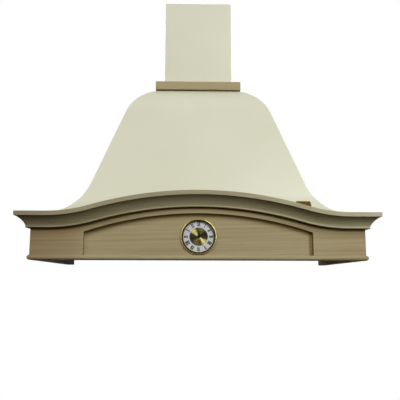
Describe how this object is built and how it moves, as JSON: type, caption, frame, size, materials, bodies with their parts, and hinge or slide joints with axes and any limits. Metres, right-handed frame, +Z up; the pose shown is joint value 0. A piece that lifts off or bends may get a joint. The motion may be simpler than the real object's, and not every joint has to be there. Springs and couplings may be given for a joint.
{
  "type": "range hood",
  "caption": "Wall range hood with a wooden frame, arched cove cornice, set-in clock, curved painted steel bell, wooden collar and telescoping chimney.",
  "frame": {"origin": "on the wall plane, at the back face of the rear rail, midway between the two hanging holes; the hood's bottom edge is 65 mm below", "axes": "+X to the right as seen from the room, +Y from the room into the wall, +Z up; the hood's front faces -Y"},
  "size_m": [0.961, 0.4745, 0.853],
  "materials": {
    "oak": "open-pored, unfinished, fine straight grain",
    "cream_paint": "satin ivory powder coat",
    "galvanised_steel": "galvanised sheet",
    "stainless_steel": "brushed along the width",
    "aluminium": "pressed sheet and expanded mesh",
    "brass": "polished and lacquered",
    "glass": "clear, flat",
    "frosted_glass": "satin etched",
    "white_enamel": "satin white print ground",
    "black_lacquer": "satin black",
    "black_plastic": "moulded, fine texture",
    "grey_plastic": "moulded, fine texture",
    "white_plastic": "moulded, smooth",
    "dark_steel": "dipped varnish over laminations",
    "bright_steel": "ground",
    "battery_wrap": "plain shrink sleeve"
  },
  "bodies": {
    "root": {"front_board": "oak", "side_board_left": "oak", "side_board_right": "oak", "rear_rail": "oak", "frame_blocks": "oak", "cornice_front": "oak", "cornice_left": "oak", "cornice_right": "oak", "bead_front": "oak", "bead_left": "oak", "bead_right": "oak", "bell_shell": "cream_paint", "bell_top_plate": "galvanised_steel", "collar_front": "oak", "collar_left": "oak", "collar_right": "oak", "chimney_lower": "cream_paint", "scroll_left": "black_plastic", "scroll_right": "black_plastic", "motor": "dark_steel", "motor_bearing": "bright_steel", "motor_mount": "galvanised_steel", "terminal_box": "grey_plastic", "capacitor": "white_plastic", "cable_gland": "black_plastic", "outlet_spigot": "black_plastic", "flap_pin": "bright_steel", "base_panel": "stainless_steel", "lamp_bezels": "bright_steel", "lamp_lenses": "frosted_glass", "lamp_cans": "galvanised_steel", "lamp_bulbs": "white_plastic", "control_fascia": "black_plastic", "switch_body": "black_plastic", "clock_bezel": "brass", "clock_glass": "glass", "clock_can": "brass", "clock_dial": "white_enamel", "clock_centre_disc": "brass", "clock_movement": "black_plastic", "clock_cell": "battery_wrap"},
    "upper_chimney": {"chimney_upper": "cream_paint", "chimney_bracket": "galvanised_steel"},
    "left_filter": {"filter_frame_left": "aluminium", "filter_mesh_left": "aluminium"},
    "right_filter": {"filter_frame_right": "aluminium", "filter_mesh_right": "aluminium"},
    "left_latch": {"filter_latch_left": "black_plastic"},
    "right_latch": {"filter_latch_right": "black_plastic"},
    "light_button": {"button_light": "white_plastic"},
    "off_button": {"button_off": "white_plastic"},
    "low_button": {"button_low": "white_plastic"},
    "medium_button": {"button_medium": "white_plastic"},
    "high_button": {"button_high": "white_plastic"},
    "wheel": {"impeller": "grey_plastic", "motor_shaft": "bright_steel"},
    "front_flap": {"flap_front": "grey_plastic"},
    "rear_flap": {"flap_rear": "grey_plastic"},
    "minute_hand": {"clock_minute_hand": "black_lacquer"},
    "hour_hand": {"clock_hour_hand": "black_lacquer"}
  },
  "joints": [
    {"name": "chimney_extend", "type": "slide", "parent": "root", "child": "upper_chimney", "axis": [0, 0, 1], "range_m": [0, 0.2]},
    {"name": "left_filter_drop", "type": "hinge", "parent": "root", "child": "left_filter", "pos_m": [-0.1615, -0.05, -0.0427], "axis": [1, 0, 0], "range_deg": [0, 60]},
    {"name": "left_latch_slide", "type": "slide", "parent": "left_filter", "child": "left_latch", "axis": [0, 1, 0], "range_m": [0, 0.006], "stiffness_N_per_m": 150, "springref_m": -0.004},
    {"name": "right_filter_drop", "type": "hinge", "parent": "root", "child": "right_filter", "pos_m": [0.1615, -0.05, -0.0427], "axis": [1, 0, 0], "range_deg": [0, 60]},
    {"name": "right_latch_slide", "type": "slide", "parent": "right_filter", "child": "right_latch", "axis": [0, 1, 0], "range_m": [0, 0.006], "stiffness_N_per_m": 150, "springref_m": -0.004},
    {"name": "light_button_press", "type": "slide", "parent": "root", "child": "light_button", "axis": [0, 0, 1], "range_m": [0, 0.003], "stiffness_N_per_m": 300, "springref_m": -0.002},
    {"name": "off_button_press", "type": "slide", "parent": "root", "child": "off_button", "axis": [0, 0, 1], "range_m": [0, 0.003], "stiffness_N_per_m": 300, "springref_m": -0.002},
    {"name": "low_button_press", "type": "slide", "parent": "root", "child": "low_button", "axis": [0, 0, 1], "range_m": [0, 0.003], "stiffness_N_per_m": 300, "springref_m": -0.002},
    {"name": "medium_button_press", "type": "slide", "parent": "root", "child": "medium_button", "axis": [0, 0, 1], "range_m": [0, 0.003], "stiffness_N_per_m": 300, "springref_m": -0.002},
    {"name": "high_button_press", "type": "slide", "parent": "root", "child": "high_button", "axis": [0, 0, 1], "range_m": [0, 0.003], "stiffness_N_per_m": 300, "springref_m": -0.002},
    {"name": "wheel_spin", "type": "hinge", "parent": "root", "child": "wheel", "pos_m": [0, -0.18, 0.36], "axis": [1, 0, 0], "continuous": true},
    {"name": "front_flap_swing", "type": "hinge", "parent": "root", "child": "front_flap", "pos_m": [0, -0.1125, 0.4937], "axis": [-1, 0, 0], "range_deg": [0, 75]},
    {"name": "rear_flap_swing", "type": "hinge", "parent": "root", "child": "rear_flap", "pos_m": [0, -0.1125, 0.4937], "axis": [1, 0, 0], "range_deg": [0, 75]},
    {"name": "minute_hand_turn", "type": "hinge", "parent": "root", "child": "minute_hand", "pos_m": [0, -0.431, -0.002], "axis": [0, 1, 0], "continuous": true},
    {"name": "hour_hand_turn", "type": "hinge", "parent": "root", "child": "hour_hand", "pos_m": [0, -0.431, -0.002], "axis": [0, 1, 0], "continuous": true}
  ],
  "couplings": [
    {"joint": "hour_hand_turn", "follows": "minute_hand_turn", "ratio": 0.083333}
  ]
}
